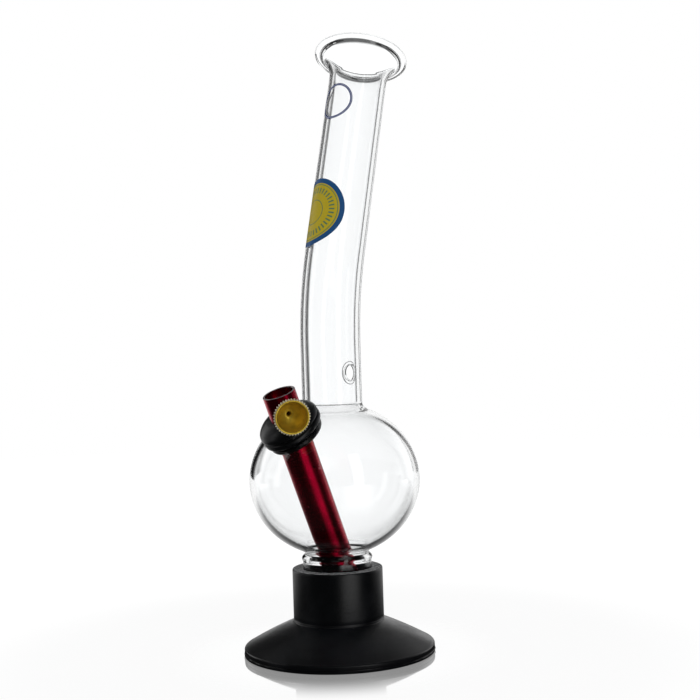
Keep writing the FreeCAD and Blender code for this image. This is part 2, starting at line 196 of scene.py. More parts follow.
def skin(name: str, rings: list[list[Vector]], closed: bool = True) -> bpy.types.Object:
    """Join rings of points into one skin, with a UV map (turn, distance along the outline).

    Args:
        name: The object's name.
        rings: Rings with the same number of points. A ring of one point is a pole.
        closed: Whether the last ring joins the first.

    Returns:
        The object, smooth shaded, with its faces pointing outwards.
    """
    mesh = bmesh.new()
    layer = mesh.loops.layers.uv.new("UVMap")
    rows = [[mesh.verts.new(point) for point in ring] for ring in rings]
    along = [0.0]
    for before, after in zip(rings, rings[1:]):
        along.append(along[-1] + (after[0] - before[0]).length)
    along.append(along[-1] + (rings[0][0] - rings[-1][0]).length)
    count = max(len(ring) for ring in rings)
    spans = len(rings) if closed else len(rings) - 1
    for index in range(spans):
        lower, upper = rows[index], rows[(index + 1) % len(rows)]
        for step in range(count):
            following = (step + 1) % count
            corners = []
            for row, place, height in ((lower, step, 0), (lower, following, 0),
                                       (upper, following, 1), (upper, step, 1)):
                vertex = row[place % len(row)]
                turn = (step + (place != step)) / count
                if all(vertex is not known[0] for known in corners):
                    corners.append((vertex, turn, along[index + height]))
            face = mesh.faces.new([vertex for vertex, _, _ in corners])
            for loop, (_, turn, height) in zip(face.loops, corners):
                loop[layer].uv = (turn, height)
    bmesh.ops.recalc_face_normals(mesh, faces=mesh.faces)
    return finished(name, mesh)


def shade(data: bpy.types.Mesh, crease: float = CREASE) -> None:
    """Shade a mesh smooth, except at edges that turn by more degrees than the crease."""
    data.shade_smooth()
    data.set_sharp_from_angle(angle=math.radians(crease))


def finished(name: str, mesh: bmesh.types.BMesh) -> bpy.types.Object:
    """Turn a bmesh into a linked object, smooth shaded except at sharp edges.

    Args:
        name: The object's name.
        mesh: The bmesh, which is freed.

    Returns:
        The object.
    """
    data = bpy.data.meshes.new(name)
    mesh.to_mesh(data)
    mesh.free()
    shade(data)
    piece = bpy.data.objects.new(name, data)
    bpy.context.scene.collection.objects.link(piece)
    return piece


def circle(place: Matrix, radius: float, height: float, segments: int) -> list[Vector]:
    """A ring of points about the Z of a matrix; a single point where the radius is zero."""
    turns = [2 * math.pi * step / segments for step in range(segments if radius > POLE else 1)]
    return [place @ Vector((radius * math.cos(t), radius * math.sin(t), height)) for t in turns]


def lathe(name: str, outline: list[Pair], place: Matrix, segments: int = 96) -> bpy.types.Object:
    """Turn a closed outline of (radius, height) about the Z of a matrix.

    Args:
        name: The object's name.
        outline: The closed outline. It may start and end on the axis.
        place: Where the turned piece stands.
        segments: Number of flats round it.

    Returns:
        The object.
    """
    rings = [circle(place, radius, height, segments) for radius, height in outline]
    return skin(name, rings, closed=outline[0][0] > POLE)


def evaluated(piece: bpy.types.Object) -> bpy.types.Object:
    """Apply every modifier of a piece and return the piece with plain mesh data."""
    graph = bpy.context.evaluated_depsgraph_get()
    data = bpy.data.meshes.new_from_object(piece.evaluated_get(graph))
    piece.modifiers.clear()
    old = piece.data
    piece.data = data
    bpy.data.meshes.remove(old)
    return piece


def combine(piece: bpy.types.Object, tool: bpy.types.Object, operation: str) -> bpy.types.Object:
    """Cut a tool out of a piece, or add it, and remove the tool.

    Args:
        piece: The piece that is changed.
        tool: The closed tool.
        operation: DIFFERENCE or UNION.

    Returns:
        The piece.
    """
    step = piece.modifiers.new("combine", "BOOLEAN")
    step.operation = operation
    step.solver = "EXACT"
    step.object = tool
    evaluated(piece)
    bpy.data.objects.remove(tool)
    shade(piece.data)
    return piece


def drill(radius: float, start: float, end: float, place: Matrix,
          segments: int = 96) -> bpy.types.Object:
    """A plain closed cylinder along the Z of a matrix, used as a cutting tool."""
    outline = [(0.0, start), (radius, start), (radius, end), (0.0, end)]
    return lathe("tool", outline, place, segments)


# ---------------------------------------------------------------- shaders

class Signal:
    """A shader socket that takes part in ordinary Python sums."""

    def __init__(self, shader: "Shader", socket: bpy.types.NodeSocket) -> None:
        """Wrap an output socket of a shader."""
        self.shader = shader
        self.socket = socket

    def maths(self, operation: str, *values: "Signal | float") -> "Signal":
        """One Math node with this socket first.

        Args:
            operation: The Math node's operation.
            values: Its other operands.

        Returns:
            The result.
        """
        operands = dict(enumerate((self, *values)))
        return self.shader.node("ShaderNodeMath", {"operation": operation}, operands)

    def __add__(self, other: "Signal | float") -> "Signal":
        """Sum."""
        return self.maths("ADD", other)

    def __radd__(self, other: float) -> "Signal":
        """Sum with a number first."""
        return self.maths("ADD", other)

    def __mul__(self, other: "Signal | float") -> "Signal":
        """Product."""
        return self.maths("MULTIPLY", other)

    def __sub__(self, other: "Signal | float") -> "Signal":
        """Difference."""
        return self.maths("SUBTRACT", other)

    def __rsub__(self, other: float) -> "Signal":
        """A number less this."""
        return self.shader.node("ShaderNodeMath", {"operation": "SUBTRACT"}, {0: other, 1: self})

    def between(self, low: float, high: float) -> "Signal":
        """0 below low, 1 above high, and a smooth step between them."""
        return self.shader.node("ShaderNodeMapRange", {"interpolation_type": "SMOOTHSTEP"},
                                {"Value": self, "From Min": low, "From Max": high})


class Shader:
    """A node tree that is built up by calls, for a material or the world."""

    def __init__(self, owner: bpy.types.Material | bpy.types.World) -> None:
        """Start an empty tree in a material or a world."""
        owner.use_nodes = True
        self.owner = owner
        self.tree = owner.node_tree
        self.tree.nodes.clear()

    def node(self, kind: str, settings: dict, inputs: dict, out: int | str = 0) -> Signal:
        """Add a node.

        Args:
            kind: The node's type.
            settings: Properties of the node, set first.
            inputs: Values or signals of its sockets, by name or number.
            out: The output that is returned.

        Returns:
            That output.
        """
        made = self.tree.nodes.new(kind)
        for name, value in settings.items():
            setattr(made, name, value)
        for name, value in inputs.items():
            if isinstance(value, Signal):
                self.tree.links.new(value.socket, made.inputs[name])
            else:
                made.inputs[name].default_value = value
        return Signal(self, made.outputs[out])

    def coordinates(self, kind: str) -> Signal:
        """Texture coordinates, such as Object or UV."""
        return self.node("ShaderNodeTexCoord", {}, {}, kind)

    def vector(self, operation: str, *values: Signal | Colour) -> Signal:
        """The number that a Vector Math node makes of its operands."""
        operands = dict(enumerate(values))
        return self.node("ShaderNodeVectorMath", {"operation": operation}, operands, "Value")

    def blend(self, share: Signal | float, first: Signal, second: Signal) -> Signal:
        """A Mix Shader node: the first shader at 0, the second at 1."""
        return self.node("ShaderNodeMixShader", {}, {0: share, 1: first, 2: second})

    def glow(self, colour: Signal | tuple, strength: float = 1.0) -> Signal:
        """An Emission node."""
        return self.node("ShaderNodeEmission", {}, {"Color": colour, "Strength": strength})

    def ray(self, name: str) -> Signal:
        """One output of the Light Path node."""
        return self.node("ShaderNodeLightPath", {}, {}, name)

    def noise(self, scale: float, detail: float = 3.0, stretch: Colour = (1, 1, 1),
              vector: Signal | None = None) -> Signal:
        """Fractal noise on Object coordinates.

        Args:
            scale: Cells in a metre.
            detail: Octaves.
            stretch: Factors along the three axes.
            vector: Other coordinates to use.

        Returns:
            The noise, from 0 to 1.
        """
        base = vector or self.coordinates("Object")
        mapped = self.node("ShaderNodeMapping", {}, {"Vector": base, "Scale": stretch})
        return self.node("ShaderNodeTexNoise", {"normalize": True},
                         {"Vector": mapped, "Scale": scale, "Detail": detail})

    def mix(self, share: Signal | float, first: Signal | Colour, second: Signal | Colour) -> Signal:
        """Blend two colours.

        Args:
            share: Share of the second colour.
            first: Colour at 0.
            second: Colour at 1.

        Returns:
            The blended colour.
        """
        pair = {number: value if isinstance(value, Signal) else (*value, 1.0)
                for number, value in ((6, first), (7, second))}
        return self.node("ShaderNodeMix", {"data_type": "RGBA"}, {0: share, **pair}, 2)

    def bump(self, height: Signal, depth: float, strength: float = 1.0) -> Signal:
        """A normal from a height that is 0 to 1 times depth metres."""
        return self.node("ShaderNodeBump", {}, {"Height": height, "Distance": depth,
                                               "Strength": strength})

    def finish(self, surface: Signal) -> None:
        """Lead a shader to the output."""
        world = isinstance(self.owner, bpy.types.World)
        kind = "ShaderNodeOutputWorld" if world else "ShaderNodeOutputMaterial"
        made = self.tree.nodes.new(kind)
        self.tree.links.new(surface.socket, made.inputs["Surface"])

    def principled(self, inputs: dict) -> bpy.types.Material:
        """Finish the material with one Principled node, and return it."""
        self.finish(self.node("ShaderNodeBsdfPrincipled", {}, inputs))
        return self.owner


def new_shader(name: str) -> Shader:
    """A shader for a new material."""
    return Shader(bpy.data.materials.new(name))


@dataclass(frozen=True)
class RubberFinish:
    """Moulded black rubber with a light powdery bloom; a marked rim is pale grey, partly a dusting and
    partly painted sheen.
    """

    name: str
    colour: Colour = (0.0012, 0.0016, 0.0026)
    bloom: Colour = (0.010, 0.012, 0.016)
    bloom_share: float = 0.5
    roughness: float = 0.24
    # Pale grey of the marked rim: a dusting, and painted sheen.
    dust_and_sheen: Colour = (0.50, 0.51, 0.52)

    def make(self) -> bpy.types.Material:
        """Build the material. A point attribute marks where pale grey goes: a dusting, and painted
        sheen.
        """
        shader = new_shader(self.name)
        patches = shader.noise(38.0, 5.0).between(0.42, 0.75)
        grain = shader.noise(2600.0, 2.0)
        streaks = shader.noise(160.0, 4.0, (1.0, 1.0, 9.0))
        rim_dust_and_sheen = shader.node("ShaderNodeAttribute", {"attribute_name": "rim_dust_and_sheen"}, {}, "Fac")
        speckle = shader.noise(1500.0, 2.0).between(0.35, 0.62)
        worn = shader.mix(patches * self.bloom_share, self.colour, self.bloom)
        # The marked rim turns pale grey: a dusting, and painted sheen.
        colour = shader.mix(rim_dust_and_sheen * speckle, worn, self.dust_and_sheen)
        rough = self.roughness + patches * 0.16 + streaks * 0.12 + rim_dust_and_sheen * 0.35
        height = grain * 0.35 + streaks * 0.65
        return shader.principled({
            "Base Color": colour, "Roughness": rough, "IOR": 1.5,
            "Normal": shader.bump(height, 0.00012, 0.6)})


@dataclass(frozen=True)
class GlassFinish:
    """Clear flame-worked glass with the faintest waves."""

    name: str = "clear_glass"
    tint: Colour = (0.985, 0.992, 0.995)
    ior: float = 1.474

    def make(self) -> bpy.types.Material:
        """Build the material."""
        shader = new_shader(self.name)
        waves = shader.noise(45.0, 1.0, (1.0, 1.0, 0.35))
        return shader.principled({
            "Base Color": (*self.tint, 1.0), "Roughness": 0.0, "IOR": self.ior,
            "Transmission Weight": 1.0, "Normal": shader.bump(waves, 0.00015, 0.5)})


@dataclass(frozen=True)
class AnodisedFinish:
    """Dyed aluminium tube with fine drawing lines and scratches."""

    name: str = "red_anodised"
    colour: Colour = (0.40, 0.002, 0.024)
    deep: Colour = (0.26, 0.001, 0.016)
    scratch: Colour = (0.70, 0.22, 0.26)
    roughness: float = 0.20

    def make(self) -> bpy.types.Material:
        """Build the material. The UV map runs round the tube and along it."""
        shader = new_shader(self.name)
        uv = shader.coordinates("UV")
        lines = shader.noise(60.0, 4.0, (14.0, 8.0, 1.0), uv)
        clouds = shader.noise(70.0, 3.0).between(0.35, 0.7)
        nicks = shader.noise(420.0, 2.0, (1.0, 0.25, 1.0)).between(0.70, 0.76)
        body = shader.mix(clouds * 0.7, self.colour, self.deep)
        colour = shader.mix(nicks * 0.35, body, self.scratch)
        return shader.principled({
            "Base Color": colour, "Metallic": 1.0,
            "Roughness": self.roughness + lines * 0.12 + nicks * 0.2,
            "Normal": shader.bump(lines, 0.00002, 0.5)})


@dataclass(frozen=True)
class MetalFinish:
    """Turned metal with tool marks and a thin tarnish."""

    name: str
    colour: Colour
    tarnish: Colour
    tarnish_share: float = 0.6
    roughness: float = 0.26
    metallic: float = 1.0
    marks: float = 5200.0

    def make(self) -> bpy.types.Material:
        """Build the material. The UV map's second axis runs along the outline, in metres."""
        shader = new_shader(self.name)
        uv = shader.coordinates("UV")
        rings = shader.noise(self.marks, 1.0, (0.0005, 1.0, 1.0), uv)
        stains = shader.noise(240.0, 5.0).between(0.35, 0.72)
        colour = shader.mix(stains * self.tarnish_share, self.colour, self.tarnish)
        return shader.principled({
            "Base Color": colour, "Metallic": self.metallic,
            "Roughness": self.roughness + stains * 0.18 + rings * 0.06,
            "Normal": shader.bump(rings, 0.00003, 0.5)})


@dataclass(frozen=True)
class FilmFinish:
    """Printed film: a plain field, a rim band, fine rings and a ring of ticks. Reaches are 0 to 1."""

    name: str
    field: Colour
    band: Colour
    line: Colour
    band_start: float
    rings: tuple[float, ...] = ()
    ticks: int = 0
    tick_start: float = 0.56
    tick_end: float = 0.72
    line_width: float = 0.010

    def make(self) -> bpy.types.Material:
        """Build the material. UV (0.5, 0.5) is the film's middle."""
        shader = new_shader(self.name)
        uv = shader.coordinates("UV")
        centred = shader.node("ShaderNodeVectorMath", {"operation": "SUBTRACT"},
                              {0: uv, 1: (0.5, 0.5, 0.0)})
        reach = shader.vector("LENGTH", centred) * 2.0
        edge = 0.006
        colour = self.field
        for ring in self.rings:
            near = (reach - ring).maths("ABSOLUTE")
            mark = 1.0 - near.between(self.line_width - edge, self.line_width + edge)
            colour = shader.mix(mark, colour, self.line)
        if self.ticks:
            parts = [shader.node("ShaderNodeSeparateXYZ", {}, {0: centred}, axis) for axis in "YX"]
            wave = (parts[0].maths("ARCTAN2", parts[1]) * float(self.ticks)).maths("SINE")
            inside = reach.between(self.tick_start - edge, self.tick_start + edge)
            inside = inside * (1.0 - reach.between(self.tick_end - edge, self.tick_end + edge))
            colour = shader.mix(wave.between(0.1, 0.4) * inside * 0.85, colour, self.line)
        band = reach.between(self.band_start - edge, self.band_start + edge)
        colour = shader.mix(band, colour, self.band)
        worn = shader.noise(900.0, 3.0) * 0.25
        faded = shader.mix(worn, colour, (0.02, 0.025, 0.03))
        return shader.principled({
            "Base Color": faded, "Roughness": 0.34 + shader.noise(300.0) * 0.15, "IOR": 1.4})


# ---------------------------------------------------------------- pieces

@dataclass
class Piece:
    """What one finished mesh needs before it joins the frame."""

    mesh: bpy.types.Object
    body: Body
    slot: str
    nodes: tuple[str, ...]
    materials: tuple[bpy.types.Material, ...]

    def attach(self) -> None:
        """Dress the mesh, tie it to its body and hide its CAD nodes; the slot is not used here."""
        for number, material in enumerate(self.materials):
            if number < len(self.mesh.data.materials):
                self.mesh.data.materials[number] = material
            else:
                self.mesh.data.materials.append(material)
        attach(self.mesh, self.body.value)
        if self.nodes:
            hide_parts(*self.nodes)
        triangles = sum(len(face.vertices) - 2 for face in self.mesh.data.polygons)
        log.info("%s rides on %s, %d triangles", self.mesh.name, self.body.value, triangles)


@dataclass
class RubberBase:
    """Flared round foot and cup, one rubber moulding."""

    foot_edge: float = 4.5 * MM
    skirt_top: float = 18.5 * MM
    skirt_dome: float = 0.5 * MM
    cup_floor: float = 12.0 * MM
    cup_wall: float = 6.25 * MM
    edge_round: float = 1.2 * MM
    lip_round: float = 0.7 * MM
    segments: int = 192
    finish: RubberFinish = field(default_factory=lambda: RubberFinish("base_rubber"))

    def __post_init__(self) -> None:
        """Read the outside sizes from the frame."""
        low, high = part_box("base")
        self.foot_radius = (high.x - low.x) / 2
        self.cup_top = high.z
        self.bore = 20.05 * MM
        self.cup_radius = self.bore + self.cup_wall

    def skirt(self, steps: int) -> list[Pair]:
        """The slightly domed slope from the foot's edge up to the cup."""
        start = Vector((self.foot_radius - self.edge_round, self.foot_edge + 0.3 * MM))
        end = Vector((self.cup_radius + 0.5 * MM, self.skirt_top - 0.1 * MM))
        chord = end - start
        outwards = Vector((chord.y, -chord.x)).normalized()
        points = []
        for step in range(steps + 1):
            share = step / steps
            point = start + chord * share + outwards * self.skirt_dome * 4 * share * (1 - share)
            points.append((point.x, point.y))
        return points

    def outline(self) -> list[Pair]:
        """The moulding's closed outline, from the middle of the underside."""
        foot, edge, soft = self.foot_radius, self.foot_edge, self.edge_round
        cup, top, lip = self.cup_radius, self.cup_top, self.lip_round
        rise, skirt = self.skirt_top, self.skirt(40)
        return joined(
            run((0.0, 0.0), (foot - 0.6 * MM, 0.0), 12),
            marks((foot, 0.0), (-0.15, 0.1), (0, 0.5), (0, 1.3), (-0.35, 1.55), (-0.4, 1.8),
                  (-0.2, 2.1)),
            run((foot - 0.2 * MM, 2.1 * MM), (foot - 0.2 * MM, edge - soft * 0.7), 3),
            corner((foot - 0.2 * MM, edge - soft * 0.7), (foot - 0.2 * MM, edge), skirt[0], 6),
            skirt,
            corner(skirt[-1], *marks((cup, rise), (0, 0.1), (0, 0.7)), 5),
            marks((cup, rise), (0, 0.7), (0, 1.1), (-0.15, 1.35), (-0.15, 1.6), (0, 1.85)),
            run((cup, rise + 1.85 * MM), (cup, top - soft), 14),
            corner((cup, top - soft), (cup, top), (cup - soft, top), 6),
            run((cup - soft, top), (self.bore + lip, top), 6),
            corner((self.bore + lip, top), (self.bore, top), (self.bore, top - lip), 5),
            run((self.bore, top - lip), (self.bore, self.cup_floor), 12),
            run((self.bore, self.cup_floor), (0.0, self.cup_floor), 8),
        )

    def build(self) -> None:
        """Turn the moulding, rough up its flash line and mark its rim for a pale dusting and painted
        sheen.
        """
        mesh = lathe("rubber_base", self.outline(), Matrix.Identity(4), self.segments)
        self.rough_edges(mesh)
        self.mark_rim(mesh)
        Piece(mesh, Body.STAND, "base_rubber", ("base",), (self.finish.make(),)).attach()

    def rough_edges(self, mesh: bpy.types.Object) -> None:
        """Give the foot's flash line the ragged trim of a hand-finished moulding."""
        waves = ((37, 0.0, 0.05), (61, 1.3, 0.06), (89, 0.4, 0.05), (67, 2.2, 0.04))
        for vertex in mesh.data.vertices:
            reach = math.hypot(vertex.co.x, vertex.co.y)
            if reach < self.foot_radius - 0.1 * MM or not 0.2 * MM < vertex.co.z < 1.45 * MM:
                continue
            turn = math.atan2(vertex.co.y, vertex.co.x)
            wave = sum(size * math.sin(count * turn + shift) for count, shift, size in waves) * MM
            vertex.co.x *= 1 + wave / reach
            vertex.co.y *= 1 + wave / reach
            vertex.co.z += wave * 1.5

    def mark_rim(self, mesh: bpy.types.Object) -> None:
        """Store where the cup's flat rim gets a pale dusting and painted sheen."""
        rim_dust_and_sheen = mesh.data.attributes.new("rim_dust_and_sheen", "FLOAT", "POINT")
        for vertex, value in zip(mesh.data.vertices, rim_dust_and_sheen.data):
            reach = math.hypot(vertex.co.x, vertex.co.y)
            # The flat top of the rim gets the pale dusting and painted sheen.
            flat = vertex.co.z > self.cup_top - 0.15 * MM and reach > self.bore + self.lip_round * 0.5
            value.value = 1.0 if flat else 0.0


@dataclass
class CentreLine:
    """The vessel's centre line: up the collar and bulb, round the neck's bend, to the mouth."""

    bend_start: float
    bend_radius: float = 175.0 * MM
    lean: float = math.radians(18.0)
    heading: float = math.radians(106.8)

    def __post_init__(self) -> None:
        """Work out the lean's direction in plan and where the bend ends."""
        self.side = Vector((math.cos(self.heading), math.sin(self.heading), 0.0))
        self.bend_end = self.bend_start + self.bend_radius * self.lean

    def at(self, along: float) -> Matrix:
        """A matrix on the line: its Z follows the line and its X points to the leaning side."""
        turn = min(max((along - self.bend_start) / self.bend_radius, 0.0), self.lean)
        below = min(along, self.bend_start)
        beyond = max(along - self.bend_end, 0.0)
        forward = self.side * math.sin(turn) + UP * math.cos(turn)
        point = (UP * below + self.side * self.bend_radius * (1 - math.cos(turn))
                 + UP * self.bend_radius * math.sin(turn) + forward * beyond)
        return turned_frame(point, forward, self.side * math.cos(turn) - UP * math.sin(turn))


@dataclass
class GlassVessel:
    """Collar, bulb, bent neck and rolled mouth, one piece of glass."""

    collar_radius: float = 20.0 * MM
    collar_wall: float = 3.0 * MM
    bulb_half_height: float = 44.5 * MM
    bulb_wall: float = 2.8 * MM
    neck_wall: float = 2.5 * MM
    neck_foot: float = 36.4 * MM
    neck_run: float = 113.0 * MM
    flare_radius: float = 16.0 * MM
    bead_radius: float = 2.6 * MM
    bead_reach: float = 25.9 * MM
    bead_height: float = 15.5 * MM
    thumb_radius: float = 4.5 * MM
    thumb_rise: float = 19.9 * MM
    thumb_ring: float = 1.3 * MM
    segments: int = 144
    finish: GlassFinish = field(default_factory=GlassFinish)

    def __post_init__(self) -> None:
        """Read the outside sizes from the frame and lay the centre line."""
        low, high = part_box("glass_bulb")
        self.foot, self.weld = low.z, high.z
        self.bulb_radius = (high.x - low.x) / 2
        self.neck_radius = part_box("glass_neck")[1].x
        share = math.sqrt(1 - (self.neck_radius / self.bulb_radius) ** 2)
        self.centre = self.weld - self.bulb_half_height * share
        self.line = CentreLine(self.weld + self.neck_foot)
        self.neck_end = self.line.bend_end + self.neck_run

    def bulb_angle(self, radius: float, inset: float) -> float:
        """The ellipse's angle, in degrees, where the bulb has this radius."""
        return math.degrees(math.acos(radius / (self.bulb_radius - inset)))

    def bulb_point(self, radius: float, inset: float, half: int) -> Pair:
        """The bulb's point of this radius, in the upper (1) or lower (-1) half."""
        share = math.sqrt(1 - (radius / (self.bulb_radius - inset)) ** 2)
        return radius, self.centre + half * (self.bulb_half_height - inset) * share

    def bulb_arc(self, low: float, high: float, inset: float, steps: int) -> list[Pair]:
        """The bulb's outline from its lower point of radius low to its upper one of radius high."""
        start, end = -self.bulb_angle(low, inset), self.bulb_angle(high, inset)
        return oval((0.0, self.centre), self.bulb_radius - inset, self.bulb_half_height - inset,
                    start, end, steps)

    def foot_outline(self) -> list[Pair]:
        """The fire-polished foot of the collar, from its inside to its outside."""
        half = self.collar_wall / 2
        return arc((self.collar_radius - half, self.foot + half), half, 180, 360, 8)

    def lower_outside(self) -> list[Pair]:
        """Collar, bead and waist up to the bulb."""
        radius, half = self.collar_radius, self.collar_wall / 2
        bead = self.bulb_point(20.4 * MM, 0.0, -1)
        shape = [*marks((radius, bead[1]), (0, -8.0), (0, -6.6), (0.45, -5.2), (0.55, -4.4),
                        (-0.1, -3.2), (-1.1, -2.2), (-1.35, -1.4), (-0.8, -0.6)), bead]
        return joined(run((radius, self.foot + half), shape[0], 10), smooth(shape, 4))

    def lower_inside(self) -> list[Pair]:
        """The same stretch inside, from the bulb down to the foot."""
        radius, half = self.collar_radius - self.collar_wall, self.collar_wall / 2
        start = self.bulb_point(19.6 * MM, self.bulb_wall, -1)
        shape = [start, *marks((radius, start[1]), (0.7, -1.2), (-0.5, -2.7), (-0.9, -4.4), (-0.4, -6.4),
                               (0, -8.6), (0, -10.4))]
        return joined(smooth(shape, 4), run(shape[-1], (radius, self.foot + half), 10))

    def mouth(self) -> list[Pair]:
        """Trumpet flare and rolled bead, from the neck's outside round to its inside."""
        base, flare = self.neck_end, self.flare_radius
        centre = (self.neck_radius + flare, base)
        outer = arc(centre, flare, 180, 180 - 50, 12)
        inner = arc(centre, flare + self.neck_wall, 180 - 47, 180, 12)
        bead = arc((self.bead_reach, base + self.bead_height), self.bead_radius, -62, 186, 20)
        return joined(outer, smooth([outer[-1], *bead[::4], inner[0]], 4), inner)

    def neck_side(self, radius: float, foot: float) -> list[list[Pair]]:
        """The neck's side: the straight foot, the bend and the straight top."""
        stops = (foot, self.line.bend_start, self.line.bend_end, self.neck_end)
        return [run((radius, low), (radius, high), steps)
                for low, high, steps in zip(stops, stops[1:], (18, 24, 16))]

    def outline(self) -> list[Pair]:
        """The closed outline as (radius, distance along the centre line)."""
        bore = self.neck_radius - self.neck_wall
        shoulder = self.bulb_point(21.4 * MM, 0.0, 1)
        inner_shoulder = self.bulb_point(19.4 * MM, self.bulb_wall, 1)
        neck_foot, inner_foot = self.weld + 2.6 * MM, self.weld + 1.2 * MM
        return joined(
            self.foot_outline(), self.lower_outside(),
            self.bulb_arc(20.4 * MM, 21.4 * MM, 0.0, 64),
            corner(shoulder, (self.neck_radius, self.weld + 0.2 * MM), (self.neck_radius, neck_foot), 9),
            *self.neck_side(self.neck_radius, neck_foot),
            self.mouth(),
            *(stretch[::-1] for stretch in reversed(self.neck_side(bore, inner_foot))),
            corner((bore, inner_foot), (bore, self.weld - 2.2 * MM), inner_shoulder, 8),
            list(reversed(self.bulb_arc(19.6 * MM, 19.4 * MM, self.bulb_wall, 64))),
            self.lower_inside(),
        )

    def glass_reach(self, start: Vector, axis: Vector, inset: float) -> float:
        """How far a line runs along an axis until it leaves the bulb.

        Args:
            start: Where the line starts.
            axis: Its direction.
            inset: 0 for the bulb's outer face, the wall for its inner one.

        Returns:
            The distance, negative where the glass lies behind the start.
        """
        wide, tall = self.bulb_radius - inset, self.bulb_half_height - inset
        offset = start - UP * self.centre
        scaled = Vector((offset.x / wide, offset.y / wide, offset.z / tall))
        way = Vector((axis.x / wide, axis.y / wide, axis.z / tall))
        half, square = scaled.dot(way), way.length_squared
        root = math.sqrt(max(half ** 2 - square * (scaled.length_squared - 1), 0.0))
        return (-half + root) / square

    def port(self) -> Matrix:
        """The port's frame: its origin on the bulb's outer face, its Z square to the glass."""
        axis = stem_axis()
        start = tube_end("stem_tube", axis, 1)
        point = start + axis * self.glass_reach(start, axis, 0.0)
        wide, tall = self.bulb_radius, self.bulb_half_height
        normal = Vector((point.x / wide ** 2, point.y / wide ** 2, (point.z - self.centre) / tall ** 2))
        return turned_frame(point, normal, Vector((1, 0, 0)))

    def build(self) -> None:
        """Blow the vessel, open its port and thumb hole, and dress it."""
        mesh = skin("glass_vessel", [circle(self.line.at(along), radius, 0.0, self.segments)
                                     for radius, along in self.outline()])
        combine(mesh, drill(13.5 * MM, -14 * MM, 14 * MM, self.port()), "DIFFERENCE")
        hole = turned_frame(UP * (self.weld + self.thumb_rise), Vector((0, 1, 0)))
        ring_radius = self.thumb_radius + self.thumb_ring
        height = self.neck_radius - self.thumb_ring * 0.55
        section = arc((ring_radius, height), self.thumb_ring, 0, 360, 20)[:-1]
        ring = lathe("thumb_ring", section, hole, 64)
        combine(mesh, ring, "UNION")
        combine(mesh, drill(self.thumb_radius + 0.05 * MM, self.neck_radius * 0.4,
                            self.neck_radius * 1.4, hole, 64), "DIFFERENCE")
        Piece(mesh, Body.VESSEL, "clear_glass", ("glass_bulb", "glass_neck", "mouth_lip"),
              (self.finish.make(),)).attach()


def joint_axis(name: str) -> Vector:
    """Direction of a joint of the frame."""
    found = next(joint for joint in frame["joints"] if joint["name"] == name)
    return Vector(found["axis"]).normalized()


def stem_axis() -> Vector:
    """Direction of the stem, up and out of the bulb."""
    return joint_axis("stem_pull")


def tube_end(node: str, axis: Vector, end: int) -> Vector:
    """Middle of a node's end ring along an axis.

    Args:
        node: The CAD node.
        axis: Its axis.
        end: 1 for the far end of the axis, -1 for the near one.

    Returns:
        The middle of the end ring.
    """
    points = {tuple(round(c, 7) for c in vertex.co) for vertex in frame["nodes"][node].data.vertices}
    heights = {point: Vector(point).dot(axis) * end for point in points}
    top = max(heights.values())
    ring = [Vector(point) for point, height in heights.items() if height > top - 0.02 * MM]
    low = Vector([min(p[i] for p in ring) for i in range(3)])
    high = Vector([max(p[i] for p in ring) for i in range(3)])
    return (low + high) / 2


@dataclass
class Grommet:
    """Rubber grommet that hugs the glass on both sides of the port."""

    vessel: GlassVessel
    port_radius: float = 13.45 * MM
    flange_radius: float = 18.1 * MM
    lower_radius: float = 16.0 * MM
    lower_depth: float = 9.0 * MM
    bore_radius: float = 9.56 * MM
    crown: float = 8.0 * MM
    skin_gap: float = 0.04 * MM
    segments: int = 128
    finish: RubberFinish = field(default_factory=lambda: RubberFinish(
        "grommet_rubber", (0.0015, 0.0018, 0.0024), (0.008, 0.009, 0.011), 0.4, 0.22))

    def outline(self) -> list[tuple[float, float, str]]:
        """Outline points as (radius, height, what the height is measured from)."""
        flange, port, gap = self.flange_radius, self.port_radius, self.skin_gap
        lower, depth = self.lower_radius, self.lower_depth
        underside = [(0.0, -depth), *corner((lower - 2.2 * MM, -depth), (lower, -depth),
                                            (lower, -depth + 1.6 * MM), 5)]
        grip_inside = [(lower, -gap), (port + 1.0 * MM, -gap), (port, -0.6 * MM)]
        grip_outside = [(port, 0.4 * MM), (port + 1.0 * MM, gap), (flange - 1.6 * MM, gap),
                        *marks((flange, 0.0), (-0.5, 0.10), (0, 0.9))]
        crown = smooth([*marks((flange, 0.0), (0.15, -1.2), (0.1, -0.1), (-0.7, 0.55), (-0.75, 0.85),
                               (-0.05, 1.35), (0.1, 2.5), (-0.8, 4.3), (-3.0, 6.2), (-5.6, 7.4)),
                        (self.bore_radius + 1.2 * MM, self.crown)], 5)
        return [(radius, height, base) for base, stretch in (
            ("plane", underside), ("inside", grip_inside), ("outside", grip_outside),
            ("plane", [*crown, (0.0, self.crown)])) for radius, height in stretch]

    def build(self) -> None:
        """Mould the grommet to the glass and bore it for the stem."""
        place = self.vessel.port()
        square = place.to_3x3() @ UP
        insets = {"inside": self.vessel.bulb_wall, "outside": 0.0}
        rings = []
        for radius, height, base in self.outline():
            ring = []
            for step in range(self.segments if radius > POLE else 1):
                turn = 2 * math.pi * step / self.segments
                x, y, lift = radius * math.cos(turn), radius * math.sin(turn), height
                if base in insets:
                    lift += self.vessel.glass_reach(place @ Vector((x, y, 0.0)), square, insets[base])
                ring.append(place @ Vector((x, y, lift)))
            rings.append(ring)
        mesh = skin("rubber_grommet", rings, closed=False)
        bore = turned_frame(place.translation, stem_axis())
        combine(mesh, drill(self.bore_radius, -30 * MM, 30 * MM, bore), "DIFFERENCE")
        Piece(mesh, Body.VESSEL, "grommet_rubber", ("grommet",), (self.finish.make(),)).attach()


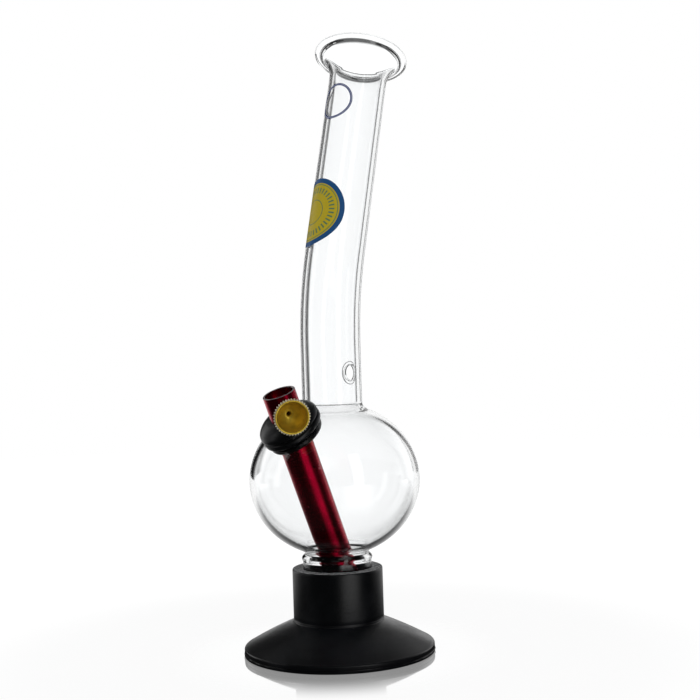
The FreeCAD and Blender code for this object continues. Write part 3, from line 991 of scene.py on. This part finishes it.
@dataclass
class Stem:
    """Anodised tube with bare rims, its plug and the bush for the cone."""

    radius: float = 9.5 * MM
    wall: float = 1.2 * MM
    edge: float = 0.16 * MM
    socket_radius: float = 3.62 * MM
    segments: int = 128
    finish: AnodisedFinish = field(default_factory=AnodisedFinish)
    bare: MetalFinish = field(default_factory=lambda: MetalFinish(
        "bare_aluminium", (0.55, 0.50, 0.51), (0.30, 0.20, 0.22), 0.6, 0.32))
    brass: MetalFinish = field(default_factory=lambda: MetalFinish(
        "socket_brass", (0.60, 0.43, 0.13), (0.30, 0.20, 0.06)))

    def outline(self, length: float) -> list[Pair]:
        """The tube's wall, with small chamfers at both ends."""
        outer, inner, edge = self.radius, self.radius - self.wall, self.edge
        return joined(
            [(inner, edge), (inner + edge, 0.0), (outer - edge, 0.0), (outer, edge)],
            run((outer, edge), (outer, length - edge), 60),
            [(outer - edge, length), (inner + edge, length)],
            run((inner, length - edge), (inner, edge), 60),
        )

    def build(self) -> None:
        """Cut the tube to length, drill it for the bush and dress it."""
        axis = stem_axis()
        top, foot = tube_end("stem_tube", axis, 1), tube_end("stem_tube", axis, -1)
        length = (top - foot).length
        place = turned_frame(foot, axis, Vector((1, 0, 0)))
        mesh = lathe("stem_tube_wall", self.outline(length), place, self.segments)
        cone = cone_frame()
        combine(mesh, drill(self.socket_radius, 0.0, 14 * MM, cone, 48), "DIFFERENCE")
        self.bare_rims(mesh, foot, axis, length)
        Piece(mesh, Body.STEM, "red_anodised", ("stem_tube",),
              (self.finish.make(), self.bare.make())).attach()
        self.dress_small_parts()

    def bare_rims(self, mesh: bpy.types.Object, foot: Vector, axis: Vector, length: float) -> None:
        """Give the cut ends of the tube the bare metal, which is the second material."""
        for face in mesh.data.polygons:
            height = (face.center - foot).dot(axis)
            if height < self.edge or height > length - self.edge:
                face.material_index = 1

    def dress_small_parts(self) -> None:
        """Dress the plug and the bush, whose CAD shapes are kept."""
        for node, material in (("stem_plug", bpy.data.materials[self.finish.name]),
                               ("cone_socket", self.brass.make())):
            data = frame["nodes"][node].data
            data.materials.clear()
            data.materials.append(material)
            log.info("%s keeps its CAD shape", node)


def cone_frame() -> Matrix:
    """The cone's frame: its origin on the stem's centre line, its Z out through the bowl."""
    axis, stem = joint_axis("cone_pull"), stem_axis()
    rim = tube_end("cone_bowl", axis, 1)
    top = tube_end("stem_tube", stem, 1)
    between = rim - top
    share = axis.dot(stem)
    reach = (between.dot(axis) - between.dot(stem) * share) / (1 - share ** 2)
    return turned_frame(rim - axis * reach, axis, stem)


class Knurl:
    """Teeth set round the cone's rim by a Geometry Nodes tree."""

    def __init__(self, teeth: int, radius: float, width: float, height: float) -> None:
        """Hold the knurl's sizes.

        Args:
            teeth: Number of teeth.
            radius: Radius of the band that they stand on.
            width: Height of the band along the cone's axis.
            height: How far a tooth stands out.
        """
        self.teeth, self.radius, self.width, self.height = teeth, radius, width, height

    def tooth(self) -> bpy.types.Object:
        """One tooth: a low ridge with rounded ends, pointing along X."""
        mesh = bmesh.new()
        half = math.pi * self.radius / self.teeth * 0.74
        inner = -0.35 * MM
        rows = []
        for share, rise in ((-0.5, 0.15), (-0.38, 0.85), (0.0, 1.0), (0.38, 0.85), (0.5, 0.15)):
            z = share * self.width
            rows.append([mesh.verts.new(point) for point in (
                (inner, -half, z), (self.height * rise * 0.12, -half * 0.9, z),
                (self.height * rise * 0.85, -half * 0.30, z), (self.height * rise, 0.0, z),
                (self.height * rise * 0.85, half * 0.30, z),
                (self.height * rise * 0.12, half * 0.9, z), (inner, half, z))])
        for lower, upper in zip(rows, rows[1:]):
            for step in range(len(lower)):
                following = (step + 1) % len(lower)
                mesh.faces.new((lower[step], lower[following], upper[following], upper[step]))
        mesh.faces.new(rows[0])
        mesh.faces.new(rows[-1])
        bmesh.ops.recalc_face_normals(mesh, faces=mesh.faces)
        return finished("tooth", mesh)

    def tree(self, material: bpy.types.Material) -> bpy.types.NodeTree:
        """The tree: a tooth on each point of a circle, realised and dressed."""
        tree = bpy.data.node_groups.new("knurl", "GeometryNodeTree")
        sockets = tree.interface
        for name, kind in (("Teeth", "NodeSocketInt"), ("Radius", "NodeSocketFloat"),
                           ("Tooth", "NodeSocketObject")):
            sockets.new_socket(name=name, in_out="INPUT", socket_type=kind)
        sockets.new_socket(name="Geometry", in_out="OUTPUT", socket_type="NodeSocketGeometry")
        add = tree.nodes.new
        given, result = add("NodeGroupInput"), add("NodeGroupOutput")
        circle, info, centre = (add("GeometryNodeMeshCircle"), add("GeometryNodeObjectInfo"),
                                add("GeometryNodeInputPosition"))
        align, place = add("FunctionNodeAlignRotationToVector"), add("GeometryNodeInstanceOnPoints")
        realise, dress = add("GeometryNodeRealizeInstances"), add("GeometryNodeSetMaterial")
        align.axis = "X"
        align.pivot_axis = "Z"
        dress.inputs["Material"].default_value = material
        link = tree.links.new
        link(given.outputs["Teeth"], circle.inputs["Vertices"])
        link(given.outputs["Radius"], circle.inputs["Radius"])
        link(given.outputs["Tooth"], info.inputs["Object"])
        link(centre.outputs["Position"], align.inputs["Vector"])
        link(circle.outputs["Mesh"], place.inputs["Points"])
        link(info.outputs["Geometry"], place.inputs["Instance"])
        link(align.outputs["Rotation"], place.inputs["Rotation"])
        link(place.outputs["Instances"], realise.inputs["Geometry"])
        link(realise.outputs["Geometry"], dress.inputs["Geometry"])
        link(dress.outputs["Geometry"], result.inputs["Geometry"])
        return tree

    def build(self, place: Matrix, material: bpy.types.Material) -> bpy.types.Object:
        """Set the teeth round the rim.

        Args:
            place: Frame of the band's middle, with its Z along the cone.
            material: The teeth's material.

        Returns:
            The plain mesh of all the teeth, in place.
        """
        tooth = self.tooth()
        data = bpy.data.meshes.new("cone_knurl")
        piece = bpy.data.objects.new("cone_knurl", data)
        bpy.context.scene.collection.objects.link(piece)
        step = piece.modifiers.new("knurl", "NODES")
        step.node_group = self.tree(material)
        values = {"Teeth": self.teeth, "Radius": self.radius, "Tooth": tooth}
        for item in step.node_group.interface.items_tree:
            if item.in_out == "INPUT":
                step[item.identifier] = values[item.name]
        evaluated(piece)
        bpy.data.objects.remove(tooth)
        piece.data.transform(place)
        shade(piece.data, KNURL_CREASE)
        return piece


@dataclass
class Cone:
    """Turned brass bowl with a knurled rim, whose teeth get a paler brass as painted highlight."""

    shank_radius: float = 2.5 * MM
    hole_radius: float = 1.15 * MM
    shank_end: float = 8.0 * MM
    seat: float = 12.7 * MM
    shoulder: float = 4.2 * MM
    rim: float = 25.0 * MM
    rim_radius: float = 9.6 * MM
    band: float = 2.2 * MM
    teeth: int = 40
    tooth_height: float = 0.85 * MM
    segments: int = 128
    bowl: MetalFinish = field(default_factory=lambda: MetalFinish(
        "cone_brass", (0.80, 0.56, 0.06), (0.46, 0.31, 0.02), 0.6, 0.34, 0.78))
    # The teeth's brass is paler and creamier than the bowl's: a painted highlight.
    knurled: MetalFinish = field(default_factory=lambda: MetalFinish(
        "knurl_brass", (0.95, 0.88, 0.66), (0.66, 0.54, 0.30), 0.35, 0.32, 0.7))

    def outline(self) -> list[Pair]:
        """Outside from the shank to the rim, then the inside of the bowl and the hole."""
        rim, band, edge = self.rim, self.rim - self.band, self.rim_radius
        inner = edge - 1.05 * MM
        return joined(
            [(self.hole_radius, self.shank_end), (self.shank_radius - 0.2 * MM, self.shank_end)],
            run((self.shank_radius, self.shank_end + 0.2 * MM), (self.shank_radius, self.seat), 4),
            [(self.shoulder - 0.3 * MM, self.seat), (self.shoulder, self.seat + 0.3 * MM)],
            smooth([(self.shoulder, self.seat + 0.3 * MM),
                    *marks(ZERO, (5.9, 15.2), (7.6, 18.0), (8.7, 20.6)),
                    (9.0 * MM, band - 0.3 * MM)], 5),
            corner((9.0 * MM, band - 0.3 * MM), (9.05 * MM, band), (edge - 0.4 * MM, band), 3),
            corner((edge - 0.4 * MM, band), (edge, band), (edge, band + 0.4 * MM), 3),
            run((edge, band + 0.4 * MM), (edge, rim - 0.35 * MM), 3),
            corner((edge, rim - 0.35 * MM), (edge, rim), (edge - 0.4 * MM, rim), 4),
            corner((inner + 0.35 * MM, rim), (inner, rim), (inner - 0.1 * MM, rim - 0.5 * MM), 4),
            smooth([(inner - 0.1 * MM, rim - 0.5 * MM),
                    *marks(ZERO, (8.1, 22.2), (7.0, 19.3), (5.1, 16.7), (2.9, 15.1), (1.6, 14.6)),
                    (self.hole_radius, 14.1 * MM)], 6),
            run((self.hole_radius, 14.1 * MM), (self.hole_radius, self.shank_end), 4),
        )

    def build(self) -> None:
        """Turn the bowl and set its knurl."""
        place = cone_frame()
        mesh = lathe("cone_bowl_turned", self.outline(), place, self.segments)
        Piece(mesh, Body.CONE, "cone_brass", ("cone_bowl",), (self.bowl.make(),)).attach()
        knurl = Knurl(self.teeth, self.rim_radius, self.band * 0.92, self.tooth_height)
        middle = place @ Matrix.Translation(UP * (self.rim - self.band / 2))
        # The teeth wear the paler brass, a painted highlight.
        material = self.knurled.make()
        Piece(knurl.build(middle, material), Body.CONE, "cone_brass", (), (material,)).attach()


@dataclass
class WrappedFilm:
    """A thin round film, or a ring, laid on the neck."""

    name: str
    node: str
    slot: str
    radius: float
    hole: float
    along: float
    turn: float
    finish: FilmFinish
    lift: float = 0.05 * MM
    thickness: float = 0.12 * MM
    rounds: int = 120

    def build(self, vessel: GlassVessel) -> None:
        """Lay the film on the neck's outer face.

        Args:
            vessel: The vessel whose neck carries the film.
        """
        inner = vessel.neck_radius + self.lift
        outer = inner + self.thickness
        place = vessel.line.at(vessel.line.bend_end + self.along) @ Matrix.Rotation(self.turn, 4, "Z")
        spans = 6 if self.hole else 14
        reaches = [self.hole + (self.radius - self.hole) * step / spans for step in range(spans + 1)]
        rows = [(reach, outer) for reach in reaches] + [(reach, inner) for reach in reversed(reaches)]
        flat, rings = [], []
        for reach, level in rows:
            ring = []
            for step in range(self.rounds if reach > 0 else 1):
                around = 2 * math.pi * step / self.rounds
                across, up = reach * math.cos(around), reach * math.sin(around)
                angle = across / vessel.neck_radius
                ring.append(place @ Vector((level * math.cos(angle), level * math.sin(angle), up)))
                flat.append((0.5 + across / self.radius / 2, 0.5 + up / self.radius / 2))
            rings.append(ring)
        piece = skin(self.name, rings, closed=self.hole > 0)
        for loop, value in zip(piece.data.loops, piece.data.uv_layers["UVMap"].data):
            value.uv = flat[loop.vertex_index]
        Piece(piece, Body.VESSEL, self.slot, (self.node,), (self.finish.make(),)).attach()


# ---------------------------------------------------------------- studio

@dataclass
class Studio:
    """Camera, lamps, floor and surroundings."""

    azimuth: float = math.radians(46.0)
    distance: float = 0.735
    eye_height: float = 0.175
    shift_right: float = 0.0113
    lens: float = 64.8
    roll: float = math.radians(-1.8)
    floor_radius: float = 1.6
    floor_drop: float = 0.3 * MM
    floor_glow: float = 1.05
    glow_share: float = 0.84
    polish: float = 0.72
    polish_end: Pair = (0.062, 0.105)
    plain_level: float = 0.55
    # Painted light and shade of the floor as reflections see it: a painted pool of light, a bright back
    # and a dark front.
    patch_start: Pair = (0.05, 0.35)
    patch_end: Pair = (0.75, 1.05)
    patch_reach: Pair = (0.08, 0.20)
    painted_pool_level: float = 1.1
    behind_span: Pair = (0.02, 0.40)
    behind_level: float = 0.95
    # Painted shadow round the foot, as glass sees the floor: its reach and its dark level.
    painted_shadow_span: Pair = (0.03, 0.15)
    painted_shadow_level: float = 0.17
    dark_level: float = 0.02
    ceiling_span: Pair = (0.42, 0.58)
    ahead_span: Pair = (0.0, 0.6)
    overhead_span: Pair = (0.35, 0.75)
    panel_count: float = 8.0
    panel_edge: Pair = (-0.93, -0.66)
    card_start: Pair = (0.20, 0.28)
    card_end: Pair = (0.60, 0.75)
    fade_start: float = 0.16
    fade_end: float = 0.30

    def __post_init__(self) -> None:
        """Work out the directions in plan."""
        self.back = Vector((math.sin(self.azimuth), -math.cos(self.azimuth), 0.0))
        self.right = Vector((math.cos(self.azimuth), math.sin(self.azimuth), 0.0))

    def build(self) -> None:
        """Set up the whole studio."""
        self.camera()
        self.lamps()
        self.floor()
        self.world()
        bpy.context.scene.view_settings.view_transform = "Standard"

    def camera(self) -> None:
        """A camera that looks level and is rolled a little."""
        data = bpy.data.cameras.new("camera")
        data.lens = self.lens
        data.sensor_width = 36.0
        data.clip_start = 0.01
        camera = bpy.data.objects.new("camera", data)
        bpy.context.scene.collection.objects.link(camera)
        z_axis = self.back
        turn = Matrix((self.right, UP, z_axis)).transposed()
        roll = Quaternion(z_axis, self.roll).to_matrix()
        place = self.back * self.distance + self.right * self.shift_right + UP * self.eye_height
        camera.matrix_world = Matrix.Translation(place) @ (roll @ turn).to_4x4()
        bpy.context.scene.camera = camera

    def lamp(self, name: str, side: float, ahead: float, height: float, size: Pair,
             power: float) -> None:
        """Add an area lamp that faces the middle of the object.

        Args:
            name: The lamp's name.
            side: Metres to the camera's right.
            ahead: Metres from the object towards the camera.
            height: Metres above the floor.
            size: Width and height of its face.
            power: Watts.
        """
        data = bpy.data.lights.new(name, "AREA")
        data.shape = "RECTANGLE"
        data.size, data.size_y = size
        data.energy = power
        lamp = bpy.data.objects.new(name, data)
        bpy.context.scene.collection.objects.link(lamp)
        place = self.right * side + self.back * ahead + UP * height
        target = UP * 0.16
        lamp.matrix_world = turned_frame(place, place - target, UP.cross(place - target))

    def lamps(self) -> None:
        """A tall strip at the right, and two weak fills that keep the front dim."""
        self.lamp("strip", 0.62, 0.95, 0.45, (0.30, 1.3), 1.9)
        self.lamp("front_fill", -0.15, 1.25, 0.95, (0.7, 0.5), 0.45)
        self.lamp("left_fill", -1.05, 0.15, 0.40, (0.18, 0.9), 0.5)

    def floor(self) -> None:
        """A white floor, polished round the foot, that fades into the white surroundings. Reflections
        see it glow with painted light and shade, and glass sees a painted shadow round the foot.
        """
        place = Matrix.Translation(UP * -self.floor_drop)
        floor = lathe("floor", [(0.0, 0.0), (self.floor_radius, 0.0)], place)
        for face in floor.data.polygons:
            if face.normal.z < 0:
                face.flip()
        shader = new_shader("floor_white")
        place_signal = shader.coordinates("Object")
        reach = shader.vector("LENGTH", place_signal)
        mirrored_ray = shader.ray("Glossy Depth").maths("GREATER_THAN", 0.5)
        plain = shader.node("ShaderNodeBsdfDiffuse", {}, {"Color": (0.93, 0.935, 0.94, 1.0)})
        mirror = shader.node("ShaderNodeBsdfGlossy", {}, {"Color": WHITE, "Roughness": 0.05})
        white = shader.glow(WHITE, self.floor_glow)
        lit = shader.blend(self.glow_share, plain, white)
        polish = (1.0 - reach.between(*self.polish_end)) * self.polish
        coated = shader.blend(polish, lit, mirror)
        far = reach.between(self.fade_start, self.fade_end)
        near_eye = shader.blend(far, coated, white)
        towards = shader.vector("DOT_PRODUCT", place_signal, tuple(-self.back))
        sideways = shader.vector("DOT_PRODUCT", place_signal, tuple(self.right))
        bearing = sideways.maths("ARCTAN2", 0.0 - towards)
        # Seen in reflections, the floor glows with painted light: bright behind the object and in a
        # painted pool of light to one side, dark towards the camera.
        painted_pool = (bearing.between(*self.patch_start) * (1.0 - bearing.between(*self.patch_end))
                 * reach.between(*self.patch_reach))
        behind = towards.between(*self.behind_span) * self.behind_level
        mirrored = shader.glow(behind + painted_pool * self.painted_pool_level + self.dark_level)
        # Seen through glass, the floor glows dark round the foot and bright beyond: a painted shadow.
        through = shader.glow(reach.between(*self.painted_shadow_span) * self.behind_level + self.painted_shadow_level)
        unseen = shader.blend(mirrored_ray, plain, mirrored)
        straight = shader.ray("Is Transmission Ray") * (1.0 - mirrored_ray)
        refracted = shader.blend(straight, unseen, through)
        shader.finish(shader.blend(shader.ray("Is Camera Ray"), refracted, near_eye))
        floor.data.materials.append(shader.owner)

    def world(self) -> None:
        """White to the eye; for glass, white panels with dark gaps; for metal, a bright back."""
        world = bpy.data.worlds.new("surroundings")
        bpy.context.scene.world = world
        shader = Shader(world)
        way = shader.coordinates("Generated")
        parts = {axis: shader.node("ShaderNodeSeparateXYZ", {}, {0: way}, axis) for axis in "XYZ"}
        azimuth = parts["Y"].maths("ARCTAN2", parts["X"])
        offset = self.azimuth - math.pi / 2
        panels = (azimuth * self.panel_count - offset * self.panel_count).maths("COSINE")
        panels = panels.between(*self.panel_edge)
        ahead = parts["X"] * -self.back.x + parts["Y"] * -self.back.y
        aside = parts["X"] * -self.right.x + parts["Y"] * -self.right.y
        bearing = aside.maths("ARCTAN2", ahead)
        card = bearing.between(*self.card_start) * (1.0 - bearing.between(*self.card_end))
        ceiling = parts["Z"].between(*self.ceiling_span)
        clear = panels * (1.0 - card) * (1.0 - ceiling * 0.9) * 1.12 + 0.03
        overhead = parts["Z"].between(*self.overhead_span)
        open_side = ahead.between(*self.ahead_span) * (1.0 - overhead * 0.8)
        glossy = open_side * panels * (1.0 - card) * 0.99 + 0.012
        passed, seen = shader.ray("Is Transmission Ray"), shader.ray("Is Camera Ray")
        mirrored = shader.ray("Glossy Depth").maths("GREATER_THAN", 0.5)
        level = (1.0 - passed) * self.plain_level + passed * clear
        level = (1.0 - mirrored) * level + mirrored * glossy
        level = (1.0 - seen) * level + seen
        shader.finish(shader.node("ShaderNodeBackground", {}, {"Color": level, "Strength": 1.0}))


def main() -> None:
    """Build every piece and the studio."""
    logging.basicConfig(level=logging.INFO, format="%(message)s")
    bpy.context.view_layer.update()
    vessel = GlassVessel()
    RubberBase().build()
    vessel.build()
    Grommet(vessel).build()
    Stem().build()
    Cone().build()
    label = FilmFinish("label_film", (0.60, 0.46, 0.004), (0.001, 0.085, 0.27), (0.05, 0.20, 0.12),
                       0.86, (0.81, 0.36), 36)
    ring = FilmFinish("decal_ink", (0.008, 0.035, 0.22), (0.008, 0.035, 0.22), (0.75, 0.78, 0.85),
                      0.985, (0.945,))
    WrappedFilm("round_label_film", "round_label", "label_film", 21.2 * MM, 0.0, 20.5 * MM,
                math.radians(149.8), label).build(vessel)
    WrappedFilm("ring_decal_film", "ring_decal", "decal_ink", 11.5 * MM, 10.1 * MM, 91.5 * MM,
                math.radians(168.4), ring).build(vessel)
    Studio().build()


if __name__ == "__main__":
    main()
